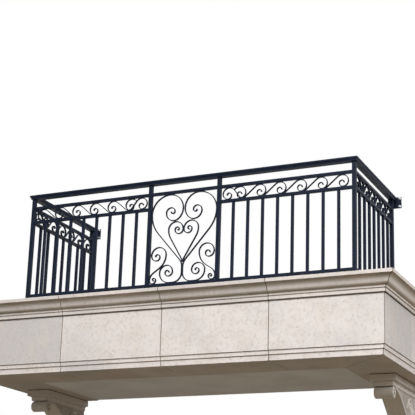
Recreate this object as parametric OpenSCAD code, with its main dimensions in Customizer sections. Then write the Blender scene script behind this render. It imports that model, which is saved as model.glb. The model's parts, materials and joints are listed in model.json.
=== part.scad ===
// Wall balcony: a stone base on two scroll consoles, with a wrought iron railing.
// Millimetres, +Z up, +X along the wall, the wall face at Y = 0 and the front towards -Y.
// The origin is on the flat back of the slab, at half the height of the stone base.

/* [Railing plan] */
// Spacing of the square bars, centre to centre
bar_pitch = 115; // [100:1:130]
// Spaces between bars in each front side panel
front_spaces = 9; // [6:1:11]
// Spaces between bars in each end panel
end_spaces = 8; // [6:1:9]
// Wall face to the centre of the end post
end_post_gap = 63; // [50:1:80]

/* [Railing heights] */
// Coping to the underside of the bottom rail
bottom_rail_z = 107; // [60:1:120]
// Coping to the underside of the lower frieze rail
frieze_low_z = 701; // [660:1:710]
// Coping to the underside of the upper frieze rail
frieze_top_z = 816; // [812:1:840]
// Coping to the underside of the handrail
handrail_z = 901; // [880:1:950]

/* [Heart panel] */
// Width of the heart panel, post centre to post centre
heart_w = 566; // [540:1:620]
// Coping to the neck, where the two stems part
neck_z = 246; // [235:1:260]
// Radius of the outer heart's crown
crown_r = 144.5; // [138:0.5:150]
// Width of the inner heart, bar centre to bar centre
inner_w = 244; // [230:1:260]
// Thickness of the flat bar that the panel is bent from
heart_t = 7; // [6:0.5:9]

/* [Iron sections] */
// Side of the square posts
post_w = 28; // [26:1:34]
// Side of the square bars
bar_w = 20; // [14:1:24]
// Height of the three flat rails
rail_h = 22; // [14:1:26]
// Depth of the three flat rails, front to back
rail_d = 25; // [20:1:26]
// Thickness of the flat bar that the frieze is bent from
wave_t = 6; // [5:0.5:8]
// Depth of the bent flat bars, front to back
scroll_d = 16; // [10:1:20]
// Width of the handrail
handrail_w = 62; // [50:1:70]
// Height of the handrail
handrail_h = 32; // [28:1:40]
// Side of the square foot under each post
foot_w = 56; // [50:1:70]
// Thickness of the feet and the wall plates
plate_t = 8; // [6:1:12]
// Width of the wall plates
wall_plate_w = 108; // [96:1:130]
// Height of the wall plates
wall_plate_h = 90; // [86:1:110]
// Diameter of the bolt holes in the wall plates
bolt_hole_d = 11; // [8:1:13]

/* [Stone base] */
// Bar line to the outer edge of the cornice
cornice_reach = 377; // [340:1:420]
// Bar line to the inner face of the stone border
border_inset = 110; // [90:1:130]
// Height of the cornice's upright top edge
top_edge_h = 25; // [20:1:40]
// Height of the cornice's curved moulding
mould_h = 65; // [50:1:90]
// Height of the two small fillets under the moulding
fillet_h = 47; // [36:1:60]
// Height of the flat fascia
fascia_h = 338; // [260:1:420]
// Height of the upper step under the fascia
upper_step_h = 29; // [20:1:40]
// Height of the lower step under the fascia
lower_step_h = 40; // [30:1:60]
// Set-back of the fascia from the cornice's edge
fascia_back = 80; // [70:1:95]
// Set-back of each step under the fascia
step_back = 8; // [4:1:12]
// Rise of the sloped coping
coping_rise = 10; // [6:1:16]
// Drop from the flat of the coping to the deck
deck_drop = 170; // [60:1:190]
// Thickness of the plaster panel in the soffit
soffit_t = 12; // [8:1:20]
// Recess of the plaster panel above the stone border
soffit_recess = 6; // [3:1:10]

/* [Scroll consoles] */
// Reach of the console's cap from the wall
console_reach = 625; // [560:1:700]
// Width of the console's cap
console_cap_w = 192; // [180:1:230]
// Width of the console's body
console_w = 125; // [100:1:140]
// Centre of each console from the middle of the base
console_x = 1397; // [1340:1:1430]
// Height of the cap's upper band
cap_band_h = 48; // [30:1:60]
// Height of the cap's lower band
cap_lower_h = 35; // [28:1:50]
// Radius of the roll at the head
roll_r = 41; // [38:1:48]
// Radius of the long shallow hollow behind the roll
neck_r = 420; // [400:5:440]
// Radius of the hollow above the belly
throat_hollow_r = 100; // [90:1:110]
// Radius of the belly
belly_r = 105; // [96:1:112]
// Radius of the foot's hollow
toe_r = 70; // [60:1:76]

/* [Hidden] */

iron = "#1a2230";
stone = "#ddd6ca";
plaster = "#7a756b";

// Railing plan
heart_x = heart_w / 2;
corner_x = heart_x + front_spaces * bar_pitch;
end_y = -end_post_gap;
corner_y = end_y - end_spaces * bar_pitch;

// Stone plan
cornice_x = corner_x + cornice_reach;
cornice_y = corner_y - cornice_reach;
border_x = corner_x - border_inset;
border_y = corner_y + border_inset;
ring_w = cornice_reach + border_inset;

// Stone heights, from the soffit up
base_h = lower_step_h + upper_step_h + fascia_h + fillet_h + mould_h + top_edge_h;
soffit_z = -base_h / 2;
fascia_z = soffit_z + lower_step_h + upper_step_h;
fillet_z = fascia_z + fascia_h;
mould_z = fillet_z + fillet_h;
edge_z = mould_z + mould_h;
coping_z = edge_z + top_edge_h;
seat_z = coping_z + coping_rise;
deck_z = coping_z - deck_drop;
panel_z = soffit_z + soffit_recess;

// Railing heights
low_rail_top = coping_z + bottom_rail_z + rail_h;
wave_bottom = coping_z + frieze_low_z + rail_h;
wave_top = coping_z + frieze_top_z;
handrail_bottom = coping_z + handrail_z;
handrail_top = handrail_bottom + handrail_h;
plate_rise = 6;
wall_plate_z = handrail_top + plate_rise - wall_plate_h / 2;

// Clearance between curved irons that rest against each other
seat_gap = 0.3;

// A point at angle a and distance r from c
function polar(c, r, a) = [c[0] + r * cos(a), c[1] + r * sin(a)];

// Points along one piece of a chain: [radius, turn] is an arc that turns left
// when the turn is positive, and [length, 0] is a straight. Each point holds its heading.
function piece(p, a, part, fine) =
    part[1] == 0
        ? [[p[0] + part[0] * cos(a), p[1] + part[0] * sin(a), a]]
        : let (
            side = sign(part[1]),
            c = polar(p, part[0], a + 90 * side),
            n = ceil(abs(part[1]) / fine)
        )
        [for (i = [1 : n])
            let (b = a + part[1] * i / n, q = polar(c, part[0], b - 90 * side))
            [q[0], q[1], b]];

// Points of a whole chain of arcs and straights
function chain(p, a, parts, fine, i = 0) =
    i == 0
        ? concat([[p[0], p[1], a]], chain(p, a, parts, fine, 1))
        : i > len(parts)
            ? []
            : let (run = piece(p, a, parts[i - 1], fine), e = run[len(run) - 1])
            concat(run, chain([e[0], e[1]], e[2], parts, fine, i + 1));

// The same points walked the other way, without the first
function walked_back(pts) = [for (i = [len(pts) - 1 : -1 : 1]) [pts[i][0], pts[i][1], pts[i][2] + 180]];

// Parts of an S-bend that ends on its first heading: run is the way along that heading,
// rise the way across it, r1 and r2 the radii, and side is 1 for left or -1 for right.
function s_bend(run, rise, r1, r2, side) =
    let (
        across = rise - r1 - r2,
        centres = norm([run, across]),
        turn = side * (atan2(across, run) + asin((r1 + r2) / centres)),
        straight = sqrt(centres * centres - (r1 + r2) * (r1 + r2))
    )
    [[r1, turn], [straight, 0], [r2, -turn]];

// Quarter turns whose radii are shares of r
function coil(r, shares, side) = [for (share = shares) [r * share, 90 * side]];

// Outline of a bent flat bar of thickness t along points. Its last points widen
// to a rounded tip that is wide across, and so do the first where both is set.
function bent_outline(pts, t, wide, both) =
    let (
        n = len(pts) - 1,
        flare = 4,
        spread = [for (i = [0 : n]) max(0, i - n + flare, both ? flare - i : 0) / flare],
        half = [for (q = spread) (t + (wide - t) * q) / 2],
        round_end = [-60, -30, 0, 30, 60]
    )
    concat(
        both ? [for (b = round_end) polar(pts[0], half[0], pts[0][2] + 180 + b)] : [],
        [for (i = [0 : n]) polar(pts[i], half[i], pts[i][2] - 90)],
        [for (b = round_end) polar(pts[n], half[n], pts[n][2] + b)],
        [for (i = [n : -1 : 0]) polar(pts[i], half[i], pts[i][2] + 90)]
    );

// A bent flat bar that stands in the XZ plane, centred on Y = 0
module bent_bar(pts, t, tip_extra, both = false) {
    rotate([90, 0, 0])
        translate([0, 0, -scroll_d / 2])
            linear_extrude(scroll_d)
                polygon(bent_outline(pts, t, t + tip_extra, both));
}

// Children on both sides of the middle, one the mirror of the other
module both_sides() {
    children();
    mirror([1, 0, 0]) children();
}

// The child on the right, or its mirror on the left
module on_side(right) {
    if (right) children();
    else mirror([1, 0, 0]) children();
}

// A front run of a moulding. Its profile lies outward of the line y = -in_y and
// has outward distance as x. Both ends are mitred against the end runs.
module front_run(in_x, in_y, reach, z0, z1) {
    intersection() {
        translate([-in_x - reach, -in_y, 0])
            rotate([90, 0, 90])
                linear_extrude(2 * (in_x + reach))
                    mirror([1, 0, 0]) children();
        translate([0, 0, z0])
            linear_extrude(z1 - z0)
                polygon([
                    [-in_x, -in_y], [in_x, -in_y],
                    [in_x + reach, -in_y - reach], [-in_x - reach, -in_y - reach]
                ]);
    }
}

// The right end run of the same moulding, from the mitre back to y = -stop
module end_run(in_x, in_y, reach, z0, z1, stop) {
    intersection() {
        translate([in_x, -stop, 0])
            rotate([90, 0, 0])
                linear_extrude(in_y + reach - stop)
                    children();
        translate([0, 0, z0])
            linear_extrude(z1 - z0)
                polygon([
                    [in_x, -stop], [in_x + reach, -stop],
                    [in_x + reach, -in_y - reach], [in_x, -in_y]
                ]);
    }
}

// Cornice: sloped coping, upright edge, an S-curved moulding that is full below and hollow
// above, and two fillets with a groove between them
module cornice_profile() {
    quirk = 2;
    groove_h = 7;
    groove_in = 5;
    lower_out = 12;
    upper_out = 16;
    foot_out = 20;
    lower_share = 0.525;
    full_share = 0.38;
    sweep = 55;
    steps = 8;
    coping_slope_w = 150;
    face = ring_w - fascia_back;
    groove_z = fillet_z + lower_share * fillet_h;
    foot = [face + foot_out, mould_z];
    head = [ring_w - quirk, edge_z];
    steep = -atan2(head[0] - foot[0], mould_h) - sweep / 2;
    radii = mould_h / (sin(steep + sweep) - sin(steep));
    full_r = full_share * radii;
    hollow_r = radii - full_r;
    full_c = polar(foot, -full_r, steep);
    hollow_c = polar(head, hollow_r, steep);
    polygon(concat(
        [[0, fillet_z], [face + lower_out, fillet_z], [face + lower_out, groove_z],
         [face + lower_out - groove_in, groove_z], [face + lower_out - groove_in, groove_z + groove_h],
         [face + upper_out, groove_z + groove_h], [face + upper_out, mould_z]],
        [for (i = [0 : steps]) polar(full_c, full_r, steep + sweep * i / steps)],
        [for (i = [steps - 1 : -1 : 0]) polar(hollow_c, -hollow_r, steep + sweep * i / steps)],
        [[ring_w, edge_z], [ring_w, coping_z], [coping_slope_w, seat_z], [0, seat_z]]
    ));
}

module cornice_front() {
    color(stone)
        front_run(border_x, -border_y, ring_w, fillet_z, seat_z) cornice_profile();
}

module cornice_end(right) {
    color(stone)
        on_side(right)
            end_run(border_x, -border_y, ring_w, fillet_z, seat_z, 0) cornice_profile();
}

// Fascia: one flat course of stone
module fascia_profile() {
    translate([0, fascia_z]) square([ring_w - fascia_back, fascia_h]);
}

module fascia_front() {
    color(stone)
        front_run(border_x, -border_y, ring_w, fascia_z, fillet_z) fascia_profile();
}

module fascia_end(right) {
    color(stone)
        on_side(right)
            end_run(border_x, -border_y, ring_w, fascia_z, fillet_z, 0) fascia_profile();
}

// Two steps under the fascia, whose underside is the border of the soffit
module steps_profile() {
    outer = ring_w - fascia_back - step_back;
    polygon([
        [0, soffit_z], [outer - step_back, soffit_z],
        [outer - step_back, soffit_z + lower_step_h], [outer, soffit_z + lower_step_h],
        [outer, fascia_z], [0, fascia_z]
    ]);
}

module steps_front() {
    color(stone)
        front_run(border_x, -border_y, ring_w, soffit_z, fascia_z) steps_profile();
}

module steps_end(right) {
    color(stone)
        on_side(right)
            end_run(border_x, -border_y, ring_w, soffit_z, fascia_z, 0) steps_profile();
}

// Slab inside the ring of stone, with the deck on top and its back on the wall
module deck_slab() {
    color(plaster)
        translate([-border_x, border_y, panel_z + soffit_t])
            cube([2 * border_x, -border_y, deck_z - panel_z - soffit_t]);
}

module soffit_panel() {
    color(plaster)
        translate([-border_x, border_y, panel_z])
            cube([2 * border_x, -border_y, soffit_t]);
}

// One band of a console's cap, set in from the widest all round and hung drop below the soffit
module console_band(inset, drop, h) {
    translate([inset - console_cap_w / 2, inset - console_reach, -drop - h])
        cube([console_cap_w - 2 * inset, console_reach - inset, h]);
}

// Console cap: a wide band, a small step and a narrow band
module console_cap(right) {
    band_back = 26;
    step = 8;
    color(stone)
        on_side(right)
            translate([console_x, 0, soffit_z]) {
                console_band(0, 0, cap_band_h);
                console_band(band_back - step, cap_band_h, step);
                console_band(band_back, cap_band_h, cap_lower_h);
            }
}

// Console body: a roll at the head, a long shallow hollow that runs back from it, a belly
// and a toe. The outline is drawn with distance from the wall as x and height as y.
roll_back = 24;
roll_drop = 2;
roll_gap = 17;
neck_from = 148;
neck_heading = 195;
neck_turn = 22;
toe_t = 50;
toe_drop = 30;
console_top = -cap_band_h - cap_lower_h;
roll_c = [console_reach - roll_back - roll_r, console_top - roll_drop - roll_r];
neck_start = polar(roll_c, roll_r + roll_gap, neck_from);
slope = neck_heading + neck_turn;
slope_dx = neck_start[0] + neck_r * (sin(slope) - sin(neck_heading))
    - throat_hollow_r * (1 + sin(slope)) - belly_r - toe_r - toe_t;
console_parts = [
    [neck_r, neck_turn], [-slope_dx / cos(slope), 0], [throat_hollow_r, 270 - slope],
    [belly_r, -90], [toe_r, 90], [toe_drop, 0]
];
console_line = chain(neck_start, neck_heading, console_parts, 10);

module console_outline() {
    toe = console_line[len(console_line) - 1];
    polygon(concat(
        [[0, console_top], [roll_c[0], console_top], roll_c],
        [for (q = console_line) [q[0], q[1]]],
        [[0, toe[1]]]
    ));
}

// Raised border that follows the front of the console, from the roll down to the toe
module console_border() {
    border_w = 16;
    lip = polar(roll_c, roll_r, neck_from);
    pts = concat([[lip[0], lip[1], neck_from]], console_line);
    intersection() {
        console_outline();
        polygon(bent_outline(pts, 2 * border_w, 2 * border_w, false));
    }
}

// Raised band that winds in round the side of the roll
module console_volute() {
    band_w = 9;
    band_in = 1;
    pinch = 0.076;
    quarters = 6;
    fine = 15;
    r = roll_r - band_in - band_w / 2;
    parts = coil(r, [for (i = [0 : quarters - 1]) 1 - i * pinch], -1);
    polygon(bent_outline(chain(roll_c + [0, r], 0, parts, fine), band_w, band_w, false));
}

// Drawn across the console's width, centred
module across_console(w) {
    translate([0, 0, -w / 2]) linear_extrude(w) children();
}

module console(right) {
    raise = 7;
    roll_raise = 3;
    eye_raise = 12;
    eye_r = 11;
    color(stone)
        on_side(right)
            translate([console_x, 0, soffit_z])
                rotate([90, 0, -90]) {
                    across_console(console_w) console_outline();
                    across_console(console_w + 2 * raise) console_border();
                    across_console(console_w + 2 * roll_raise) translate(roll_c) circle(roll_r, $fn = 64);
                    across_console(console_w + 2 * raise) console_volute();
                    across_console(console_w + 2 * eye_raise) translate(roll_c) circle(eye_r, $fn = 32);
                }
}

// Post on a square foot, from the coping to the handrail
module post(x, y) {
    color(iron)
        translate([x, y, seat_z]) {
            translate([-foot_w / 2, -foot_w / 2, 0]) cube([foot_w, foot_w, plate_t]);
            translate([-post_w / 2, -post_w / 2, 0]) cube([post_w, post_w, handrail_bottom - seat_z]);
        }
}

// Handrail section: a rounded cap over a narrower hollow-sided core
module handrail_profile() {
    core_in = 8;
    cap_h = 15;
    lip = 3;
    round_r = 5;
    w = handrail_w;
    h = handrail_h;
    hollow_h = h - cap_h - lip;
    translate([0, handrail_bottom])
        polygon(concat(
            [[core_in, 0], [w - core_in, 0]],
            [for (a = [0 : 15 : 90]) [w - lip - (core_in - lip) * cos(a), hollow_h * sin(a)]],
            [[w - lip, hollow_h + lip], [w, hollow_h + lip]],
            [for (a = [0 : 18 : 90]) [w - round_r + round_r * cos(a), h - round_r + round_r * sin(a)]],
            [for (a = [90 : 18 : 180]) [round_r + round_r * cos(a), h - round_r + round_r * sin(a)]],
            [[0, hollow_h + lip], [lip, hollow_h + lip]],
            [for (a = [90 : -15 : 0]) [lip + (core_in - lip) * cos(a), hollow_h * sin(a)]]
        ));
}

module handrail_front() {
    color(iron)
        front_run(corner_x - handrail_w / 2, -corner_y - handrail_w / 2, handrail_w,
            handrail_bottom, handrail_top) handrail_profile();
}

module handrail_end(right) {
    color(iron)
        on_side(right)
            end_run(corner_x - handrail_w / 2, -corner_y - handrail_w / 2, handrail_w,
                handrail_bottom, handrail_top, plate_t) handrail_profile();
}

// Wall plate with four bolt holes, and the stub that ties the end post to it. The plate
// reaches plate_out further outward than inward.
plate_out = 9;
bolt_edge = 13;
bolt_x = wall_plate_w / 2 - bolt_edge;
bolt_z = wall_plate_h / 2 - bolt_edge;

module wall_bracket(right) {
    stub_h = 30;
    stub_w = 22;
    color(iron)
        on_side(right)
            translate([corner_x, 0, wall_plate_z]) {
                translate([plate_out, 0, 0])
                    difference() {
                        translate([-wall_plate_w / 2, -plate_t, -wall_plate_h / 2])
                            cube([wall_plate_w, plate_t, wall_plate_h]);
                        for (x = [-1, 1], z = [-1, 1])
                            translate([x * bolt_x, 1, z * bolt_z])
                                rotate([90, 0, 0]) cylinder(d = bolt_hole_d, h = plate_t + 2, $fn = 32);
                    }
                translate([-stub_w / 2, end_y + post_w / 2, handrail_bottom - wall_plate_z - stub_h])
                    cube([stub_w, -end_y - post_w / 2 - plate_t, stub_h]);
            }
}

// The three rails of a panel that is span long, from x = 0
module panel_rails(span) {
    for (z = [bottom_rail_z, frieze_low_z, frieze_top_z])
        translate([0, -rail_d / 2, coping_z + z]) cube([span, rail_d, rail_h]);
}

// Square bars between the bottom rail and the frieze. The first space starts at the post's centre.
module panel_bars(spaces) {
    for (i = [1 : spaces - 1])
        translate([i * bar_pitch - post_w / 2 - bar_w / 2, -bar_w / 2, low_rail_top])
            cube([bar_w, bar_w, coping_z + frieze_low_z - low_rail_top]);
}

// Running scrolls of the frieze. The radii are shares of the height between the bars' centrelines.
wave_low = wave_bottom + wave_t / 2;
wave_h = wave_top - wave_bottom - wave_t;
wave_eye = [0.535, 0.465, 0.31, 0.23, 0.16];
wave_tail_r = 0.46 * wave_h;
wave_crest_r = 0.63 * wave_h;
wave_count = 7;
wave_fine = 15;
wave_tip = 4;

// Crests of the first two scrolls from the panel's start, and the span of the first
wave_lead = 63;
wave_second = 150.5;
lead_span = 112;

// A scroll whose tail starts on the lower rail, span before its crest. It climbs on a
// straight, rounds the crest and curls into the eye.
module wave(top_x, span) {
    climb = s_bend(span, wave_h, wave_tail_r, wave_crest_r, 1);
    parts = concat(climb, coil(wave_h, wave_eye, -1));
    bent_bar(chain([top_x - span, wave_low], 0, parts, wave_fine), wave_t, wave_tip);
}

// The short scroll that springs from the tail of the reversed first one
module short_wave(top_x) {
    spring = 40;
    r = 0.8 * wave_h;
    start = [top_x - r * sin(spring), wave_low + wave_h - r * (1 - cos(spring))];
    parts = concat([[r, -spring]], coil(wave_h, wave_eye, -1));
    bent_bar(chain(start, spring, parts, wave_fine), wave_t, wave_tip);
}

// The frieze of one panel: a reversed scroll at the start, then scrolls that run away from it.
// Each tail starts a little past the crest before it, and the last head stops short of the post.
module panel_waves(span, last_gap) {
    tail_lag = 20;
    last_top = span - last_gap - wave_eye[0] * wave_h - wave_t / 2;
    pitch = (last_top - wave_second) / (wave_count - 2);
    color(iron) {
        translate([2 * wave_lead, 0, 0]) mirror([1, 0, 0]) wave(wave_lead, lead_span);
        short_wave(wave_second);
        for (i = [1 : wave_count - 2])
            wave(wave_second + i * pitch, pitch - tail_lag);
    }
}

front_span = front_spaces * bar_pitch - post_w;
end_span = end_spaces * bar_pitch - post_w;
front_last_gap = 26;
end_last_gap = 10;

// Places a panel in the front run, from the heart post outwards
module in_front(right) {
    on_side(right) translate([heart_x + post_w / 2, corner_y, 0]) children();
}

// Places a panel in an end run, from the corner post towards the wall
module in_end(right) {
    on_side(right)
        translate([corner_x, corner_y + post_w / 2, 0])
            rotate([0, 0, 90]) children();
}

module rails_front(right) { color(iron) in_front(right) panel_rails(front_span); }
module rails_end(right) { color(iron) in_end(right) panel_rails(end_span); }
module bars_front(right) { color(iron) in_front(right) panel_bars(front_spaces); }
module bars_end(right) { color(iron) in_end(right) panel_bars(end_spaces); }
module waves_front(right) { in_front(right) panel_waves(front_span, front_last_gap); }
module waves_end(right) { in_end(right) panel_waves(end_span, end_last_gap); }

// The heart panel has no lower frieze rail
module rails_heart() {
    color(iron)
        for (z = [bottom_rail_z, frieze_top_z])
            translate([post_w / 2 - heart_x, corner_y - rail_d / 2, coping_z + z])
                cube([heart_w - post_w, rail_d, rail_h]);
}

// Scrolls of the heart panel, drawn with the coping as height 0. The bars' centrelines
// reach the posts at side_x, the bottom rail at floor_z and the upper rail at roof_z.
side_x = heart_x - post_w / 2 - heart_t / 2 - seat_gap;
floor_z = bottom_rail_z + rail_h + heart_t / 2 + seat_gap;
roof_z = frieze_top_z - heart_t / 2 - seat_gap;
stem_x = (heart_t + seat_gap) / 2;
stem_bend_r = 85;

module heart_bars(pts, both = false) {
    tip_extra = 4;
    color(iron)
        translate([0, corner_y, coping_z])
            both_sides()
                bent_bar(pts, heart_t, tip_extra, both);
}

function heart_chain(p, a, parts) = chain(p, a, parts, 10);

// Two long bars that rise from the neck, round the crown and curl in towards each other.
// A curl ends in an eye, whose quarter turns get tighter.
heads_apart = 8;
cheek_r = 231;
throat_r = side_x - crown_r - heart_t / 2 - heads_apart / 2;
chin_r = 105;
cup_r = 63;
head_bottom = roof_z - throat_r - chin_r * sin(45) - cup_r * (1 - cos(45));

module outer_heart() {
    climb = s_bend(roof_z - crown_r - neck_z, side_x - stem_x, stem_bend_r, cheek_r, -1);
    head = [[crown_r, 90], [throat_r, 90], [chin_r, 45], [cup_r, 135]];
    eye = coil(cup_r, [0.63, 0.48, 0.27, 0.19], 1);
    heart_bars(heart_chain([stem_x, neck_z], 90, concat(climb, head, eye)));
}

// Two shorter bars that nest against the stems and meet under the outer heads
module inner_heart() {
    weld = 0.5;
    head_clear = 3.6;
    nest_z = neck_z + sqrt(pow(stem_bend_r + heart_t + seat_gap, 2) - stem_bend_r * stem_bend_r);
    nest_bend_r = 60;
    flank_r = 129;
    shoulder_r = 58.5;
    shoulder_z = head_bottom - heart_t - head_clear - shoulder_r;
    inner_x = inner_w / 2;
    meet_r = inner_x - shoulder_r - heart_t / 2 + weld;
    climb = s_bend(shoulder_z - nest_z, inner_x - stem_x, nest_bend_r, flank_r, -1);
    head = [[shoulder_r, 90], [meet_r, 90]];
    eye = coil(shoulder_r, [0.58, 0.55, 0.34, 0.24, 0.15], 1);
    heart_bars(heart_chain([stem_x, nest_z], 90, concat(climb, head, eye)));
}

// An S-scroll beside each heart post, with a small curl in the bottom corner
module side_scrolls() {
    curl_r = 26;
    climb_h = 189;
    climb_in = 130.5;
    hip_r = 68;
    waist_r = 122;
    head_r = 60;
    start = [side_x, floor_z + curl_r];
    curl = heart_chain(start, -90, coil(curl_r, [1, 1, 0.6, 0.4, 0.3], -1));
    climb = s_bend(climb_h, climb_in, hip_r, waist_r, 1);
    eye = coil(head_r, [1, 1, 0.7, 0.45, 0.35, 0.23], -1);
    heart_bars(concat(walked_back(curl), heart_chain(start, 90, concat(climb, eye))), true);
}

// The stems' lower ends, which turn out along the bottom rail and curl up
module base_scrolls() {
    side_clear = 75;
    heel_r = 68;
    ball_r = 77;
    flat = side_x - side_clear - heart_t - ball_r - heel_r - stem_x;
    stem = neck_z - heel_r - floor_z;
    heel = [[stem, 0], [heel_r, 90], [flat, 0]];
    eye = coil(ball_r, [1, 0.73, 0.64, 0.44, 0.34, 0.23, 0.16], 1);
    heart_bars(heart_chain([stem_x, neck_z], -90, concat(heel, eye)));
}

deck_slab();
soffit_panel();
cornice_front();
cornice_end(false);  // cornice_left
cornice_end(true);  // cornice_right
fascia_front();
fascia_end(false);  // fascia_left
fascia_end(true);  // fascia_right
steps_front();
steps_end(false);  // steps_left
steps_end(true);  // steps_right
console(false);  // console_left
console(true);  // console_right
console_cap(false);  // console_cap_left
console_cap(true);  // console_cap_right
post(-corner_x, corner_y);  // corner_post_left
post(corner_x, corner_y);  // corner_post_right
post(-heart_x, corner_y);  // heart_post_left
post(heart_x, corner_y);  // heart_post_right
post(-corner_x, end_y);  // end_post_left
post(corner_x, end_y);  // end_post_right
handrail_front();
handrail_end(false);  // handrail_left
handrail_end(true);  // handrail_right
wall_bracket(false);  // wall_bracket_left
wall_bracket(true);  // wall_bracket_right
rails_front(false);  // rails_front_left
rails_front(true);  // rails_front_right
rails_end(false);  // rails_end_left
rails_end(true);  // rails_end_right
rails_heart();
bars_front(false);  // bars_front_left
bars_front(true);  // bars_front_right
bars_end(false);  // bars_end_left
bars_end(true);  // bars_end_right
waves_front(false);  // waves_front_left
waves_front(true);  // waves_front_right
waves_end(false);  // waves_end_left
waves_end(true);  // waves_end_right
outer_heart();
inner_heart();
side_scrolls();
base_scrolls();
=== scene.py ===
# %% [markdown]
# A stone balcony with a wrought iron railing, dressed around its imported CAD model.
# The model comes in first and stays where it is: metres, z up, the wall face at y = 0 and the
# front towards -y. Every piece made below is placed by the model's own boxes, so the two fit
# without any matching by eye.

# %% The CAD frame
import json
import math
import random
from collections import namedtuple

import bmesh
import bpy
from mathutils import Matrix, Vector


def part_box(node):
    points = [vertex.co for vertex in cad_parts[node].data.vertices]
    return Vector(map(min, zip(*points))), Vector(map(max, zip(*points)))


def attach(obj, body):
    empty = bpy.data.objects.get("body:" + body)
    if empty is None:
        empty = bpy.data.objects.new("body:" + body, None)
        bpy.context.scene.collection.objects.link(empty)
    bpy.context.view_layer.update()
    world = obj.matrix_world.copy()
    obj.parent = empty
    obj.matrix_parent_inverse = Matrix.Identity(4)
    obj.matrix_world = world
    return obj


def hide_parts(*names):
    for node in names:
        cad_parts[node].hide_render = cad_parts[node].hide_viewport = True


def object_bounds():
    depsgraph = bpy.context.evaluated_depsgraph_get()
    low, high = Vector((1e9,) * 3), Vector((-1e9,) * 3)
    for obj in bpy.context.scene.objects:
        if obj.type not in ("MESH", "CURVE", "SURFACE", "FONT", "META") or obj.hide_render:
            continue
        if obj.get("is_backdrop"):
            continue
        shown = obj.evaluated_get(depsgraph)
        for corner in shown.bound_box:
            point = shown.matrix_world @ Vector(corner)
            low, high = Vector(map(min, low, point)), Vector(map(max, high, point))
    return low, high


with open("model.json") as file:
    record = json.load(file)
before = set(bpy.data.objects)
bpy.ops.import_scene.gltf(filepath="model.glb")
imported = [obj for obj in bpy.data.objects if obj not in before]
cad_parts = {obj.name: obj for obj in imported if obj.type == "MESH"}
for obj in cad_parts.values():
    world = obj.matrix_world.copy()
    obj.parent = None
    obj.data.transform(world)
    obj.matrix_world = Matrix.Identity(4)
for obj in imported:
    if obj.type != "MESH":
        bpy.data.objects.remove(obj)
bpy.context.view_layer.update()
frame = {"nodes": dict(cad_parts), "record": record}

nodes = frame["nodes"]
record = frame["record"]

# %% [markdown]
# The camera is a real one: it stands on the pavement, below the balcony and to its right, and
# looks up. Its place and angles were solved from the straight edges of the stone and the rails.
# The picture was cropped after it was taken, so the optical axis lies a little under the middle
# of the frame. A small vertical shift of the lens gives that, where tilting the camera would
# bend the verticals.

# %% Camera
IMAGE_PX = 415
FOCAL_PX = 1217.465
AXIS_ROW_PX = 237.246
YAW_DEG = 25.027
PITCH_DEG = 16.479
ROLL_DEG = 1.829
STATION = Vector((3.8046, -8.7093, -1.7994))


def rotation(degrees, axis):
    """A turn about one axis, as a matrix."""
    return Matrix.Rotation(math.radians(degrees), 4, axis)


lens = bpy.data.cameras.new("camera")
lens.lens = FOCAL_PX * lens.sensor_width / IMAGE_PX
lens.shift_y = (AXIS_ROW_PX - IMAGE_PX / 2) / IMAGE_PX
camera = bpy.data.objects.new("camera", lens)
aim = rotation(YAW_DEG, "Z") @ rotation(90 + PITCH_DEG, "X") @ rotation(ROLL_DEG, "Z")
camera.matrix_world = Matrix.Translation(STATION) @ aim
bpy.context.scene.collection.objects.link(camera)
bpy.context.scene.camera = camera
bpy.context.scene.view_settings.view_transform = "Standard"
print("lens:", round(lens.lens, 1), "mm, shift:", round(lens.shift_y, 4))

# %% [markdown]
# Materials are built from nodes. Wiring nodes by hand takes three lines for each sum, so a
# small class wraps a socket and lets Python's own +, -, * and abs add the Math nodes.

# %% A class for shader maths


class Wire:
    """A node's output that can be used in sums."""

    def __init__(self, finish, socket):
        self.finish = finish
        self.socket = socket

    def __add__(self, other):
        return self.finish.maths("ADD", self, other)

    def __sub__(self, other):
        return self.finish.maths("SUBTRACT", self, other)

    def __rsub__(self, other):
        return self.finish.maths("SUBTRACT", other, self)

    def __mul__(self, other):
        return self.finish.maths("MULTIPLY", self, other)

    def __abs__(self):
        return self.finish.maths("ABSOLUTE", self)

    __radd__ = __add__
    __rmul__ = __mul__


print("a wire takes part in +, -, * and abs")

# %% [markdown]
# A second class holds the node tree of one finish. All its nodes come from one method, and the
# other methods are short names for the nodes that every finish here needs. Colours go through
# Mix nodes, because a Math node would turn them grey. Patterns read the Object coordinates and
# the face's own normal, so they stay put whichever side the object is seen from.

# %% A class for a finish


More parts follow.
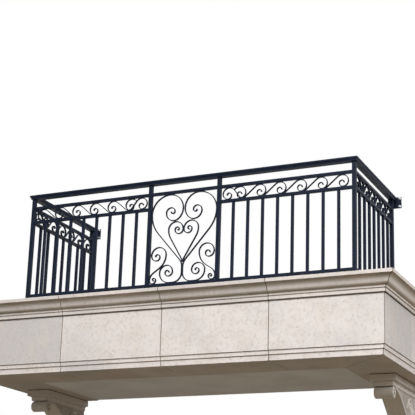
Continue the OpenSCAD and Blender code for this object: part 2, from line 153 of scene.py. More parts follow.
class Finish:
    """A material, or the world, under construction."""

    def __init__(self, holder):
        holder.use_nodes = True
        self.holder = holder
        self.tree = holder.node_tree
        self.tree.nodes.clear()

    def node(self, kind, inputs=None, out=0, **settings):
        """Adds a node. Its settings come first, then the values or links of its sockets."""
        made = self.tree.nodes.new("ShaderNode" + kind)
        for name, value in settings.items():
            setattr(made, name, value)
        for name, value in (inputs or {}).items():
            if isinstance(value, Wire):
                self.tree.links.new(value.socket, made.inputs[name])
            else:
                made.inputs[name].default_value = value
        return Wire(self, made.outputs[out]) if made.outputs else None

    def maths(self, operation, a, b=0.0):
        return self.node("Math", {0: a, 1: b}, operation=operation)

    def blend(self, factor, a, b):
        return self.node("Mix", {0: factor, 6: a, 7: b}, out=2, data_type="RGBA")

    def ramp(self, factor, low, high, low_value=0.0, high_value=1.0):
        """Low value below low, high value above high, and a smooth step between them."""
        return self.node("MapRange", {"Value": factor, "From Min": low, "From Max": high,
                                      "To Min": low_value, "To Max": high_value},
                         interpolation_type="SMOOTHSTEP")

    def place(self):
        return self.node("TexCoord", out="Object")

    def along(self, axis):
        """How far a point lies along an axis."""
        return self.node("SeparateXYZ", {0: self.place()}, out=axis)

    def facing(self, axis):
        """How much a face looks along an axis, from -1 to 1."""
        return self.node("SeparateXYZ", {0: self.node("NewGeometry", out="Normal")}, out=axis)

    def noise(self, place, per_metre, detail=3.0, roughness=0.5):
        return self.node("TexNoise", {"Vector": place, "Scale": per_metre, "Detail": detail,
                                      "Roughness": roughness})

    def dots(self, place, per_metre):
        """The distance to the nearest of many points strewn through space."""
        return self.node("TexVoronoi", {"Vector": place, "Scale": per_metre, "Randomness": 1.0},
                         out="Distance")

    def surface(self, base, roughness, height, bump_m, **constants):
        """Closes the material with one shader whose surface is raised by height times bump_m."""
        normal = self.node("Bump", {"Height": height, "Distance": bump_m, "Strength": 1.0})
        inputs = {"Base Color": base, "Roughness": roughness, "Normal": normal}
        inputs.update({name.replace("_", " "): value for name, value in constants.items()})
        self.node("OutputMaterial", {"Surface": self.node("BsdfPrincipled", inputs)})
        return self.holder


def new_finish(name):
    return Finish(bpy.data.materials.new(name))


def colour(code):
    """A colour written as in a picture editor, as Blender's linear values."""
    parts = [int(code[i:i + 2], 16) / 255 for i in (1, 3, 5)]
    linear = [p / 12.92 if p <= 0.04045 else ((p + 0.055) / 1.055) ** 2.4 for p in parts]
    return linear + [1.0]


print("mid grey in linear light:", round(colour("#808080")[0], 3))

# %% [markdown]
# The stone is a cream limestone that was sawn and rubbed smooth. Close up it is never one
# colour: broad clouds drift from warm to cool, a fine mottle lies over them, and small grey
# shells and open pits are scattered about. Each block was cut from another bed, so it has a
# tone of its own, which is a number stored on the faces of the block. The first numbers below
# say how often each pattern comes in a metre, and the last how far the blocks differ in tone.

# %% Limestone as it was cut
CLOUDS = 1.7
DRIFT = 7.0
GATES = 11.0
SHELLS = 34.0
MOTTLE = 40.0
GRAIN = 150.0
PITS = 170.0
TONE_SPREAD = 0.26


def cut_limestone(f, place, clouds, drift, grain):
    """The colour and the relief of the stone itself."""
    tone = f.node("Attribute", out="Fac", attribute_name="tone")
    warm_to_cool = f.ramp(clouds + tone * TONE_SPREAD, 0.36, 0.7)
    base = f.blend(warm_to_cool, colour("#eae3de"), colour("#d2cecc"))
    base = f.blend(f.ramp(drift, 0.45, 0.7, 0.0, 0.5), base, colour("#e0d6ca"))
    gate = f.ramp(f.noise(place, GATES, 3.0), 0.44, 0.6)
    shells = f.ramp(f.dots(place, SHELLS), 0.06, 0.38, 1.0, 0.0) * gate
    base = f.blend(shells * 0.45, base, colour("#b0aaa3"))
    mottle = f.ramp(f.noise(place, MOTTLE, 3.0, 0.62), 0.47, 0.68, 0.0, 0.35)
    base = f.blend(mottle, base, colour("#bfb7b0"))
    pits = f.ramp(f.dots(place, PITS), 0.08, 0.2, 1.0, 0.0) * f.ramp(drift, 0.48, 0.62)
    base = f.blend(pits * 0.5, base, colour("#8d8375"))
    base = f.blend(f.ramp(grain, 0.3, 0.7, 0.0, 0.16), base, colour("#b9afa2"))
    return base, grain * 0.5 - shells * 0.5 - pits


print("broadest and finest pattern in a metre:", CLOUDS, PITS)

# %% [markdown]
# Weather and painted shade colour the stone by place. Faces that look down are painted darker,
# as shade and as an olive and brown damp stain, less so on the consoles, which stand in light
# from the street. The cornice has caught some soot. The faces of the consoles that do not look
# sideways are painted lighter, and the sunk ground of the carving on their sides is painted
# darker as shade, so the raised border stands out. All of it is masked by the height, the
# distance from the console's middle and the way that a face looks.

# %% Limestone after years outside, with painted shade and light
STAINS = 3.1
BODY_HALF_W = 0.0625
soffit_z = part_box("steps_front")[0].z
cornice_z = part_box("cornice_front")[0].z
cap_low, cap_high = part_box("console_cap_right")
console_x = (cap_low.x + cap_high.x) / 2


def weather_and_painted_shade(f, base, place, clouds, drift):
    """Adds damp stains and soot, and painted shade and light, to each kind of face."""
    patchy = f.ramp(clouds, 0.3, 0.6, 0.7, 1.0)
    sideways = f.ramp(abs(f.facing("X")), 0.5, 0.9)
    on_console = f.ramp(f.along("Z"), soffit_z - 0.002, soffit_z + 0.001, 1.0, 0.0)
    on_cornice = f.ramp(f.along("Z"), cornice_z - 0.007, cornice_z - 0.003)
    # painted shade: faces that look down are darkened, in the colours of a damp stain
    damp_and_painted_shade = f.ramp(f.facing("Z"), -0.35, -0.9) * patchy
    olive_to_brown = f.ramp(f.noise(place, STAINS, 4.0, 0.6), 0.42, 0.6)
    stain = f.blend(olive_to_brown, colour("#7e785c"), colour("#957d60"))
    stain = f.blend(f.ramp(drift, 0.5, 0.68, 0.0, 0.5), stain, colour("#7d6a52"))
    # the consoles keep 15 percent of this painted shade, since they stand in light from the street
    base = f.blend(damp_and_painted_shade * (1.0 - on_console * 0.85) * 0.85, base, stain)
    base = f.blend(on_cornice * patchy * 0.3, base, colour("#c4bcb2"))
    # painted light: the faces of the consoles that do not look sideways are painted lighter
    base = f.blend(on_console * (1.0 - sideways) * 0.6, base, colour("#dfdfd8"))
    # painted shade: the sunk ground on the sides of the consoles is painted darker, patchy with the
    # drift noise
    off_middle = abs(abs(f.along("X")) - console_x)
    sunk = f.ramp(off_middle, BODY_HALF_W + 0.001, BODY_HALF_W + 0.003, 1.0, 0.0)
    painted_sunk_shade = on_console * sideways * sunk * f.ramp(drift, 0.35, 0.6, 0.4, 0.7)
    return f.blend(painted_sunk_shade, base, colour("#9a9185"))


def limestone_finish():
    f = new_finish("limestone")
    place = f.place()
    clouds = f.noise(place, CLOUDS, 5.0, 0.62)
    drift = f.noise(place, DRIFT, 4.0, 0.6)
    grain = f.noise(place, GRAIN, 4.0, 0.65)
    base, relief = cut_limestone(f, place, clouds, drift, grain)
    base = weather_and_painted_shade(f, base, place, clouds, drift)
    roughness = f.ramp(grain, 0.3, 0.7, 0.72, 0.86)
    return f.surface(base, roughness, relief, 0.0009, Specular_IOR_Level=0.3)


LIMESTONE = limestone_finish()
print("stone finish:", LIMESTONE.name, "nodes:", len(LIMESTONE.node_tree.nodes))

# %% [markdown]
# The mortar is a brown sand mix, rougher than the stone. On the underside it is nearly
# black with damp, which draws the joints of the soffit.

# %% Mortar


def mortar_finish():
    f = new_finish("mortar")
    place = f.place()
    sand = f.noise(place, 420.0, 3.0, 0.7)
    patch = f.noise(place, 14.0, 3.0)
    base = f.blend(f.ramp(patch, 0.35, 0.65), colour("#75685a"), colour("#877b6e"))
    base = f.blend(f.ramp(sand, 0.4, 0.7, 0.0, 0.4), base, colour("#4d4338"))
    base = f.blend(f.ramp(f.facing("Z"), -0.35, -0.9) * 0.75, base, colour("#3a3128"))
    roughness = f.ramp(sand, 0.3, 0.7, 0.85, 0.95)
    return f.surface(base, roughness, sand, 0.0012, Specular_IOR_Level=0.2)


MORTAR = mortar_finish()
print("joint finish:", MORTAR.name)

# %% [markdown]
# The panel in the middle of the soffit is smooth painted plaster, and the deck on top is a
# trowelled screed. Both are plain, so a faint cloud, trowel sweeps and a fine sand are enough.

# %% Plaster and screed


def plaster_finish():
    f = new_finish("soffit_plaster")
    place = f.place()
    sweep = f.noise(place, 3.0, 4.0, 0.55)
    sand = f.noise(place, 260.0, 3.0, 0.6)
    base = f.blend(f.ramp(sweep, 0.35, 0.68), colour("#e4e8e8"), colour("#d8dcdc"))
    base = f.blend(f.ramp(sand, 0.35, 0.7, 0.0, 0.14), base, colour("#9b968c"))
    roughness = f.ramp(sweep, 0.3, 0.7, 0.78, 0.9)
    return f.surface(base, roughness, sand + sweep * 0.6, 0.0006, Specular_IOR_Level=0.25)


def screed_finish():
    f = new_finish("deck_screed")
    place = f.place()
    stain = f.noise(place, 2.2, 6.0, 0.6)
    trowel = f.noise(place, 18.0, 4.0, 0.6)
    sand = f.noise(place, 300.0, 3.0, 0.7)
    base = f.blend(f.ramp(stain, 0.35, 0.68), colour("#9a958c"), colour("#857f75"))
    base = f.blend(f.ramp(trowel, 0.4, 0.7, 0.0, 0.35), base, colour("#a8a39a"))
    base = f.blend(f.ramp(sand, 0.5, 0.75, 0.0, 0.4), base, colour("#6c675f"))
    roughness = f.ramp(trowel, 0.3, 0.7, 0.7, 0.9)
    return f.surface(base, roughness, sand + trowel * 0.8, 0.001, Specular_IOR_Level=0.3)


PLASTER = plaster_finish()
SCREED = screed_finish()
print("plain finishes:", PLASTER.name, SCREED.name)

# %% [markdown]
# The ironwork is forged and then painted: a satin paint, nearly black with some navy in it.
# Paint over forged iron keeps the shallow dents of the hammer and has a skin like orange peel.
# Faces that look up are painted lighter, as a sheen of the sky and as dust, which also makes
# them rougher. The bolts are bare zinc with a mottled bloom.

# %% Painted iron and zinc


def iron_finish():
    f = new_finish("painted_iron")
    place = f.place()
    dents = f.noise(place, 60.0, 2.0, 0.5)
    peel = f.noise(place, 520.0, 2.0, 0.5)
    wear = f.noise(place, 9.0, 5.0, 0.65)
    base = f.blend(f.ramp(wear, 0.35, 0.7), colour("#111827"), colour("#192132"))
    # painted sheen of the sky on faces that look up, and dust, which also adds roughness
    sky_sheen_and_dust = f.ramp(f.facing("Z"), 0.55, 0.95) * f.ramp(wear, 0.3, 0.7, 0.25, 0.7)
    base = f.blend(sky_sheen_and_dust * 0.3, base, colour("#3e4858"))
    roughness = f.ramp(peel, 0.3, 0.7, 0.42, 0.5) + sky_sheen_and_dust * 0.2 + f.ramp(wear, 0.4, 0.7, 0.0, 0.08)
    return f.surface(base, roughness, dents + peel * 0.25, 0.0005, Specular_IOR_Level=0.1)


def bolt_finish():
    f = new_finish("zinc_bolt")
    bloom = f.noise(f.place(), 180.0, 4.0, 0.6)
    base = f.blend(f.ramp(bloom, 0.35, 0.7), colour("#b9bcc0"), colour("#8f9296"))
    return f.surface(base, f.ramp(bloom, 0.3, 0.7, 0.32, 0.5), bloom, 0.0002, Metallic=1.0)


IRON = iron_finish()
ZINC = bolt_finish()
print("metal finishes:", IRON.name, ZINC.name)

# %% [markdown]
# The CAD solids have perfect edges. Real edges catch the light because they are slightly
# round, so each solid is copied, its triangles are joined back into flat faces, and the sharp
# edges are bevelled. The copy rides on the same body and takes the node's place.

# %% Helpers for copies of CAD nodes
MERGE_WITHIN = 1e-5
FLAT_WITHIN = math.radians(0.5)
SHARP = math.radians(25)
SMOOTH_BELOW = math.radians(28)


def flat_copy(node):
    """The node's mesh with its points merged and its flat faces whole."""
    bm = bmesh.new()
    bm.from_mesh(nodes[node].data)
    bmesh.ops.remove_doubles(bm, verts=bm.verts, dist=MERGE_WITHIN)
    bmesh.ops.dissolve_limit(bm, angle_limit=FLAT_WITHIN, verts=bm.verts, edges=bm.edges)
    return bm


def soften(bm, width, keep_notches=False):
    """Rounds every sharp edge by width. Notches, where two bars meet, can be left as they are."""
    paired = [e for e in bm.edges if len(e.link_faces) == 2]
    notches = set()
    if keep_notches:
        notches = {v for e in paired if e.calc_face_angle_signed() < -SHARP for v in e.verts}
    sharp = [e for e in paired if e.calc_face_angle() > SHARP and not notches.intersection(e.verts)]
    bmesh.ops.bevel(bm, geom=sharp, offset=width, offset_type="OFFSET", segments=2, profile=0.5,
                    affect="EDGES", material=-1, clamp_overlap=False)


def finished(name, bm, finish, slot, *replaced):
    """Turns a bmesh into a piece on the root body that stands for the nodes named."""
    mesh = bpy.data.meshes.new(name)
    bm.to_mesh(mesh)
    bm.free()
    mesh.materials.append(finish)
    mesh.shade_smooth()
    mesh.set_sharp_from_angle(angle=SMOOTH_BELOW)
    piece = bpy.data.objects.new(name, mesh)
    bpy.context.scene.collection.objects.link(piece)
    weigh = piece.modifiers.new("weighted_normals", "WEIGHTED_NORMAL")
    weigh.keep_sharp = True
    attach(piece, "root")
    if replaced:
        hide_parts(*replaced)
    return piece


print("edges over", round(math.degrees(SHARP)), "degrees are rounded")

# %% [markdown]
# The base is built of blocks. Each run of moulding is one CAD node, so it is sliced at the
# joints by planes: a block is what lies between two planes, less half a joint at each end. A
# plane is a point, the direction in which the run goes on, and the width of its joint. Slicing
# keeps the mouldings true along the whole run, which modelling each block would not.

# %% Slicing a run into blocks
Plane = namedtuple("Plane", "point normal width")
ALONG = Vector((1, 0, 0))
BACK = Vector((0, 1, 0))
UP = Vector((0, 0, 1))


def everything(bm):
    return bm.verts[:] + bm.edges[:] + bm.faces[:]


def cut(bm, point, normal):
    """Removes what lies on the normal's side of a plane and closes the hole."""
    made = bmesh.ops.bisect_plane(bm, geom=everything(bm), plane_co=point, plane_no=normal,
                                  clear_outer=True)
    rim = [g for g in made["geom_cut"] if isinstance(g, bmesh.types.BMEdge)]
    bmesh.ops.holes_fill(bm, edges=rim, sides=0)


def between(node, start, end, gap):
    """The part of a node between two planes. Each plane moves inwards by gap times its width."""
    bm = flat_copy(node)
    if end:
        cut(bm, end.point - end.normal * end.width * gap, end.normal)
    if start:
        cut(bm, start.point + start.normal * start.width * gap, -start.normal)
    return bm


def joined(parts):
    """One bmesh of several, each with its own tone on its faces."""
    whole = bmesh.new()
    whole.faces.layers.float.new("tone")
    for part, tone in parts:
        known = len(whole.faces)
        mesh = bpy.data.meshes.new("part")
        part.to_mesh(mesh)
        part.free()
        whole.from_mesh(mesh)
        bpy.data.meshes.remove(mesh)
        whole.faces.ensure_lookup_table()
        tones = whole.faces.layers.float["tone"]
        for face in whole.faces[known:]:
            face[tones] = tone
    return whole


probe = between("fascia_front", Plane(ALONG * 0, ALONG, 0), None, 0)
print("half of the front fascia:", len(probe.verts), "points")
probe.free()

# %% [markdown]
# A mason leaves a joint of 3 to 6 mm and rakes the mortar back a little. The mortar is the thin
# slice that the blocks leave over, pushed in from the faces. The bed joint under the cornice is
# made in the same way, by a level plane, and is drawn in on all sides but the wall.

# %% Mortar joints
JOINT = 0.006
BED_JOINT = 0.004
FINE_JOINT = 0.003
RAKE = 0.004
LEAST_ACROSS = 0.05


def drawn_in(bm, verts, depth, centre_x):
    """Moves points towards the middle of a piece that stands against the wall, by depth."""
    reach_x = max(abs(v.co.x - centre_x) for v in verts)
    reach_y = max(-v.co.y for v in verts)
    bmesh.ops.scale(bm, vec=(1 - depth / reach_x, 1 - depth / reach_y, 1), verts=verts,
                    space=Matrix.Translation((-centre_x, 0, 0)))


def raked(bm, normal):
    """Pushes a slice of mortar in from the faces, but not along the run."""
    bm.normal_update()
    moves = []
    for v in bm.verts:
        across = v.normal - normal * v.normal.dot(normal)
        if across.length > LEAST_ACROSS:
            moves.append((v, across.normalized() * RAKE))
    for v, move in moves:
        v.co -= move


def bed(node, level, centre_x):
    """The mortar of a bed joint: what the level plane cuts off, drawn in."""
    thin = between(node, None, level, 0)
    drawn_in(thin, thin.verts[:], RAKE, centre_x)
    return thin


print("joints:", JOINT, BED_JOINT, FINE_JOINT, "m")

# %% [markdown]
# A run is two pieces, its blocks and its mortar, because they have different finishes. The edges
# of a block are rounded a little, as on stone that was rubbed by hand. The dice give each block
# its tone. They start from a fixed number, so the same blocks come out dark each time.

# %% A whole run
STONE_EDGE = 0.0015
TONE_SEED = 6248
dice = random.Random(TONE_SEED)


def stone_run(node, planes, level=None):
    """The blocks of a run between its planes, and the mortar at each plane and the level."""
    blocks = []
    for start, end in zip(planes, planes[1:]):
        block = between(node, start, end, 0.5)
        if level:
            cut(block, level.point, -level.normal)
        soften(block, STONE_EDGE)
        blocks.append((block, dice.uniform(-1, 1)))
    slices = []
    for plane in planes:
        if plane:
            thin = between(node, plane, plane, -0.5)
            raked(thin, plane.normal)
            slices.append((thin, 0.0))
    if level:
        slices.append((bed(node, level, 0.0), 0.0))
    stones = finished(node + "_stones", joined(blocks), LIMESTONE, "limestone", node)
    finished(node + "_mortar", joined(slices), MORTAR, "limestone")
    print(node, "blocks:", len(blocks), "faces:", len(stones.data.polygons))


print("stone edges:", STONE_EDGE, "m")

# %% [markdown]
# The corner planes stand at 45 degrees, so the two runs meet in a mitre as real mouldings do.
# The fascia has one more joint close to the corner, where the return of the front slab ends.

# %% The stone courses
FRONT_JOINTS = (-0.807, 0.0, 0.807)
SIDE_JOINT = -0.65
RETURN_JOINT = -1.142

inner_low, inner_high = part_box("soffit_panel")
left_point = Vector((inner_low.x, inner_low.y, 0))
right_point = Vector((inner_high.x, inner_low.y, 0))
corner_left = Plane(left_point, Vector((1, -1, 0)).normalized(), JOINT)
corner_right = Plane(right_point, Vector((1, 1, 0)).normalized(), JOINT)
leaving_left = Plane(left_point, -corner_left.normal, JOINT)
upright = [Plane(ALONG * x, ALONG, JOINT) for x in FRONT_JOINTS]
front_planes = [corner_left] + upright + [corner_right]
side_plane = Plane(BACK * SIDE_JOINT, BACK, JOINT)
return_plane = Plane(BACK * RETURN_JOINT, BACK, FINE_JOINT)
cornice_bed = Plane(UP * (cornice_z + BED_JOINT), UP, BED_JOINT)

COURSES = (("cornice", [], cornice_bed), ("fascia", [return_plane], None), ("steps", [], None))
for course, returns, level in COURSES:
    stone_run(course + "_front", front_planes, level)
    stone_run(course + "_right", [corner_right] + returns + [side_plane, None], level)
    stone_run(course + "_left", [leaving_left] + returns + [side_plane, None], level)

# %% [markdown]
# Each console is one stone, and its front is a sunk panel between two margins. The faces of the
# front are found by their width, their place and the way they look. Two insets do the rest: the
# first draws the margins and the second steps down.

# %% Sunk fronts
MARGIN = 0.02
SINK = 0.004
BORDERED_W = 0.13
ROLL_DEPTH = 0.09
TOE_GAP = 0.001
FLAT = 0.01


def sunk_front(bm, node):
    """Sinks a panel into the faces that look forward or down between the roll and the toe."""
    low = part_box(node)[0]
    bm.normal_update()
    front = []
    for face in bm.faces:
        middle = face.calc_center_median()
        wide = max(v.co.x for v in face.verts) - min(v.co.x for v in face.verts)
        looks_out = face.normal.y < FLAT and face.normal.z < FLAT and abs(face.normal.x) < FLAT
        behind_roll = middle.y > low.y + ROLL_DEPTH and middle.z > low.z + TOE_GAP
        if looks_out and wide > BORDERED_W and behind_roll:
            front.append(face)
    for thickness, depth in ((MARGIN, 0.0), (SINK, -SINK)):
        bmesh.ops.inset_region(bm, faces=front, thickness=thickness, depth=depth,
                               use_boundary=True, use_even_offset=True)
    print(node, "front faces:", len(front))


print("margins:", MARGIN, "m, sunk by", SINK, "m")

# %% [markdown]
# The cap over a console is a stone of its own with a bed joint of mortar on top. A quirk, which
# is a mason's word for a narrow groove, parts its two bands. Three level planes cut the rims and
# the bottom of the groove into the faces, and then the bottom is drawn in.

# %% Consoles and their caps
CAP_BAND_H = 0.048
QUIRK_W = 0.0048
QUIRK_DEPTH = 0.009
RIM_GAP = 0.0002
SAME_LEVEL = 1e-6


def quirk(bm, foot_z, centre_x):
    """Cuts a V-shaped groove round a cap, right under the foot of its upper band."""
    levels = [foot_z - STONE_EDGE - depth for depth in (RIM_GAP, QUIRK_W / 2, QUIRK_W)]
    for level in levels:
        bmesh.ops.bisect_plane(bm, geom=everything(bm), plane_co=UP * level, plane_no=UP)
    bottom = [v for v in bm.verts if abs(v.co.z - levels[1]) < SAME_LEVEL]
    drawn_in(bm, bottom, QUIRK_DEPTH, centre_x)


for side in ("left", "right"):
    body = "console_" + side
    console = flat_copy(body)
    sunk_front(console, body)
    soften(console, STONE_EDGE)
    tone = dice.uniform(-1, 1)
    finished(body + "_stone", joined([(console, tone)]), LIMESTONE, "limestone", body)
    cap = "console_cap_" + side
    cap_low, cap_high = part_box(cap)
    centre_x = (cap_low.x + cap_high.x) / 2
    under = Plane(UP * (cap_high.z - JOINT), -UP, JOINT)
    stone = flat_copy(cap)
    cut(stone, under.point, UP)
    soften(stone, STONE_EDGE)
    quirk(stone, cap_high.z - CAP_BAND_H, centre_x)
    finished(cap + "_stone", joined([(stone, tone)]), LIMESTONE, "limestone", cap)
    finished(cap + "_mortar", bed(cap, under, centre_x), MORTAR, "limestone")

# %% [markdown]
# The plaster panel and the deck keep their CAD shape, which is already right. They only get
# a finish each.

# %% Soffit and deck
for node, finish in (("soffit_panel", PLASTER), ("deck_slab", SCREED)):
    mesh = nodes[node].data
    mesh.materials.clear()
    mesh.materials.append(finish)
    print(node, "finish:", finish.name)

# %% [markdown]
# The sides of the consoles carry low carving: a curl that springs from the border, and a fan of
# leaves beside it, all half sunk in the stone. They are drawn flat, with the distance from the
# wall and the height over the soffit. The curl is a round bar that is spun through one bend and
# five quarter turns, each tighter than the last, and it ends in a ball.

# %% The curl
CURL_START = Vector((0.225, -0.19, 0))
CURL_HEADING_DEG = 105
CURL_RADII = (0.120, 0.046, 0.041, 0.034, 0.026, 0.019)
CURL_TURNS_DEG = (40, 90, 90, 90, 90, 90)
CURL_STEP_DEG = 12
CURL_BAR_R = 0.008
CURL_BALL_R = 0.012


def curl(bm, face, outward):
    """A half-sunk bar from CURL_START that turns away from the wall and winds up round a ball."""
    lean = rotation(CURL_HEADING_DEG, "Z") @ rotation(90, "Y")
    ring = bmesh.ops.create_circle(bm, segments=12, radius=CURL_BAR_R,
                                   matrix=face @ Matrix.Translation(CURL_START) @ lean)
    edges = list({e for v in ring["verts"] for e in v.link_edges})
    point = CURL_START.copy()
    heading = CURL_HEADING_DEG
    for radius, bend in zip(CURL_RADII, CURL_TURNS_DEG):
        to_centre = rotation(heading + 90, "Z") @ Vector((radius, 0, 0))
        centre = point + to_centre
        made = bmesh.ops.spin(bm, geom=edges, cent=face @ centre, axis=Vector((outward, 0, 0)),
                              angle=math.radians(-outward * bend),
                              steps=max(3, bend // CURL_STEP_DEG))
        edges = [g for g in made["geom_last"] if isinstance(g, bmesh.types.BMEdge)]
        heading += bend
        point = centre - rotation(bend, "Z") @ to_centre
    bmesh.ops.create_uvsphere(bm, u_segments=20, v_segments=12, radius=CURL_BALL_R,
                              matrix=face @ Matrix.Translation(point))


print("turns of the curl:", sum(CURL_TURNS_DEG), "degrees")

# %% [markdown]
# A leaf is a ball that is stretched and flattened. All of them spring from one root, and each
# has an angle in degrees, a length and a width. A leaf's middle lies a little more than half
# its length from the root, which leaves the root itself free.

# %% The leaves
LEAF_ROOT = Vector((0.125, -0.235, 0))
LEAVES = ((178, 0.078, 0.032), (146, 0.096, 0.036), (112, 0.086, 0.034), (74, 0.070, 0.028),
          (216, 0.084, 0.030), (260, 0.104, 0.034), (304, 0.074, 0.028))
LEAF_SHIFT = 0.6
LEAF_HEIGHT = 0.009


def leaf(bm, face, angle_deg, length, width):
    """A long half-sunk ball that springs from LEAF_ROOT."""
    along_leaf = face @ Matrix.Translation(LEAF_ROOT) @ rotation(angle_deg, "Z")
    shape = Matrix.Diagonal((length / 2, width / 2, LEAF_HEIGHT, 1))
    place = along_leaf @ Matrix.Translation((length * LEAF_SHIFT, 0, 0)) @ shape
    bmesh.ops.create_uvsphere(bm, u_segments=20, v_segments=10, radius=1.0, matrix=place)


print("leaves in a fan:", len(LEAVES))

# %% [markdown]
# Both sides of both consoles get the same drawing. A matrix lays it onto a side: its first axis
# runs away from the wall, its second one up and its third one out of the stone. On one side of
# each console this mirrors the shapes and turns them inside out, so the normals are worked out
# anew.

# %% Carving on the consoles
for side in ("left", "right"):
    low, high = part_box("console_" + side)
    carving = bmesh.new()
    for outward in (-1, 1):
        middle = Vector(((low.x + high.x) / 2 + outward * BODY_HALF_W, 0, soffit_z))
        onto_side = Matrix(((0, 0, outward), (-1, 0, 0), (0, 1, 0))).to_4x4()
        face = Matrix.Translation(middle) @ onto_side
        curl(carving, face, outward)
        for angle_deg, length, width in LEAVES:
            leaf(carving, face, angle_deg, length, width)
    bmesh.ops.recalc_face_normals(carving, faces=carving.faces)
    print("carving on console", side, "faces:", len(carving.faces))
    finished("console_carving_" + side, carving, LIMESTONE, "limestone")

# %% [markdown]
# Every iron of the railing is copied in the same way and rounded by 1 to 2 mm, as drawn bars
# are. The bent flat bars are many-sided along their curves, and smooth shading between faces
# that differ by less than 28 degrees makes those curves read as round.

# %% Ironwork
STONE_NODES = ("cornice", "fascia", "steps", "console", "soffit", "deck")
IRON_EDGE = {"bars": 0.0016, "rails": 0.0016, "handrail": 0.001, "wall_bracket": 0.0015}
SCROLL_EDGE = 0.0009
POST_EDGE = 0.002

irons = [node for node in sorted(nodes) if not node.startswith(STONE_NODES)]
for node in irons:
    width = next((w for start, w in IRON_EDGE.items() if node.startswith(start)), SCROLL_EDGE)
    if "post" in node:
        width = POST_EDGE
    iron = flat_copy(node)
    soften(iron, width, keep_notches=True)
    finished(node + "_iron", iron, IRON, "black_iron", node)
print("irons:", len(irons))

# %% [markdown]
# Four anchor bolts hold each wall plate. A bolt is a washer, a hexagon nut and the end of its
# stud, each a short cylinder or prism with its rim bevelled, and the record says where they go.

# %% Wall bolts
PLATE_T = 0.008
WASHER_R = 0.0105
WASHER_T = 0.002
WASHER_EDGE = 0.0004
BOLT_EDGE = 0.0008
NUT_R = 0.0092
NUT_T = 0.008
STUD_R = 0.0048
STUD_T = 0.013


def rod(bm, centre, radius, length, sides, edge):
    """A prism or cylinder that stands out from the wall plate towards -y."""
    lying = Matrix.Translation(centre - BACK * (length / 2)) @ rotation(90, "X")
    made = bmesh.ops.create_cone(bm, cap_ends=True, segments=sides, radius1=radius,
                                 radius2=radius, depth=length, matrix=lying)
    rims = {e for v in made["verts"] for e in v.link_edges if e.calc_face_angle() > SHARP}
    bmesh.ops.bevel(bm, geom=list(rims), offset=edge, offset_type="OFFSET", segments=2,
                    profile=0.5, affect="EDGES", material=-1, clamp_overlap=True)


for side in ("left", "right"):
    mount = next(m for m in record["mounts"] if m["name"] == "bracket_bolts_" + side)
    spacing = Vector((mount["dims"]["spacing_x_mm"], 0, mount["dims"]["spacing_y_mm"])) / 1000
    bolts = bmesh.new()
    for across in (-0.5, 0.5):
        for rise in (-0.5, 0.5):
            seat = Vector(mount["pos_m"]) + spacing * Vector((across, 0, rise))
            seat.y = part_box("wall_bracket_" + side)[1].y - PLATE_T
            rod(bolts, seat, WASHER_R, WASHER_T, 24, WASHER_EDGE)
            seat.y -= WASHER_T
            rod(bolts, seat, NUT_R, NUT_T, 6, BOLT_EDGE)
            rod(bolts, seat, STUD_R, STUD_T, 20, BOLT_EDGE)
    bolts.normal_update()
    print("bolts", side, "faces:", len(bolts.faces))
    finished("wall_bolts_" + side, bolts, ZINC, "black_iron")

# %% [markdown]
# The studio is a pale floor at the height of the pavement. The camera and the shiny paint see
# it fade to white with the distance, and it keeps the object's shadow. What it sends back to
# the object is a warm grey, as paving does, so the soffit stays in shade.

# %% Floor
EYE_HEIGHT = 1.6
FLOOR_Z = STATION.z - EYE_HEIGHT
FLOOR_R = 40.0
FADE_FROM = 5.0
FADE_TO = 13.0


def seen_directly(f):
    """1 for rays from the camera, from gloss or through glass, otherwise 0."""
    camera_ray = f.node("LightPath", out="Is Camera Ray")
    glossy_ray = f.node("LightPath", out="Is Glossy Ray")
    glass_ray = f.node("LightPath", out="Is Transmission Ray")
    return f.maths("MAXIMUM", f.maths("MAXIMUM", camera_ray, glossy_ray), glass_ray)


def floor_finish():
    f = new_finish("floor")
    distance = f.node("VectorMath", {0: f.place()}, out="Value", operation="LENGTH")
    pale = f.node("BsdfDiffuse", {"Color": colour("#f4f3f1")})
    shade = f.node("BsdfDiffuse", {"Color": colour("#8f7f6b")})
    white = f.node("Emission", {"Color": colour("#ffffff"), "Strength": 1.0})
    seen = f.node("MixShader", {0: f.ramp(distance, FADE_FROM, FADE_TO), 1: pale, 2: white})
    both = f.node("MixShader", {0: seen_directly(f), 1: shade, 2: seen})
    f.node("OutputMaterial", {"Surface": both})
    return f.holder


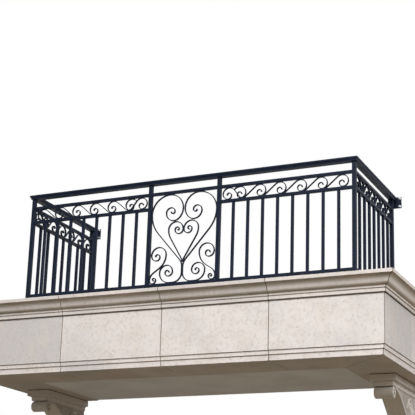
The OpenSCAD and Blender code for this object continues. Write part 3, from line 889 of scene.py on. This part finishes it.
floor_bm = bmesh.new()
bmesh.ops.create_circle(floor_bm, cap_ends=True, segments=64, radius=FLOOR_R,
                        matrix=Matrix.Translation((0, 0, FLOOR_Z)))
floor_mesh = bpy.data.meshes.new("floor")
floor_bm.to_mesh(floor_mesh)
floor_bm.free()
floor_mesh.materials.append(floor_finish())
floor = bpy.data.objects.new("floor", floor_mesh)
bpy.context.scene.collection.objects.link(floor)
floor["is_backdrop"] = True
print("floor at z =", round(FLOOR_Z, 2))

# %% [markdown]
# The surround is white in the same way: only for what the camera and the shiny paint see. What
# lights the object is weaker, cool from above and warm from below, as under an open sky.

# %% Surround
AMBIENT = 0.45

surround = bpy.data.worlds.new("surround")
bpy.context.scene.world = surround
sky = Finish(surround)
height = sky.node("SeparateXYZ", {0: sky.node("TexCoord", out="Generated")}, out="Z")
ambient = sky.blend(sky.ramp(height, -0.15, 0.25), colour("#8a7a66"), colour("#dfe6f0"))
lit = sky.node("Background", {"Color": ambient, "Strength": AMBIENT})
white = sky.node("Background", {"Color": colour("#ffffff"), "Strength": 1.0})
both = sky.node("MixShader", {0: seen_directly(sky), 1: lit, 2: white})
sky.node("OutputWorld", {"Surface": both})
print("light from the surround:", AMBIENT)

# %% [markdown]
# One large soft lamp stands high in front, a little to the left of the camera, so the front of
# the stone is the brightest face, the right end is a step darker and the mouldings are shaded
# by their own overhang. A weaker one on the right keeps that end from going dull.

# %% Lamps
LAMP_SIZE = 5.0
MIDDLE = Vector((0, -0.9, 0.3))


def lamp(name, place, watts, tint):
    """A round soft lamp that faces the middle of the balcony."""
    data = bpy.data.lights.new(name, "AREA")
    data.shape = "DISK"
    data.size = LAMP_SIZE
    data.energy = watts
    data.color = tint
    made = bpy.data.objects.new(name, data)
    turned = (MIDDLE - place).to_track_quat("-Z", "Y").to_matrix().to_4x4()
    made.matrix_world = Matrix.Translation(place) @ turned
    bpy.context.scene.collection.objects.link(made)
    print(name, "lamp:", watts, "W")


lamp("key", Vector((2.4, -8.2, 5.6)), 800.0, (1.0, 0.995, 0.995))
lamp("side", Vector((9.0, -3.0, 3.2)), 375.0, (1.0, 0.985, 0.97))

# %% [markdown]
# Last, the size of the box round all that is seen is printed.

low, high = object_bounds()
print("visual size:", [round(v, 3) for v in high - low])
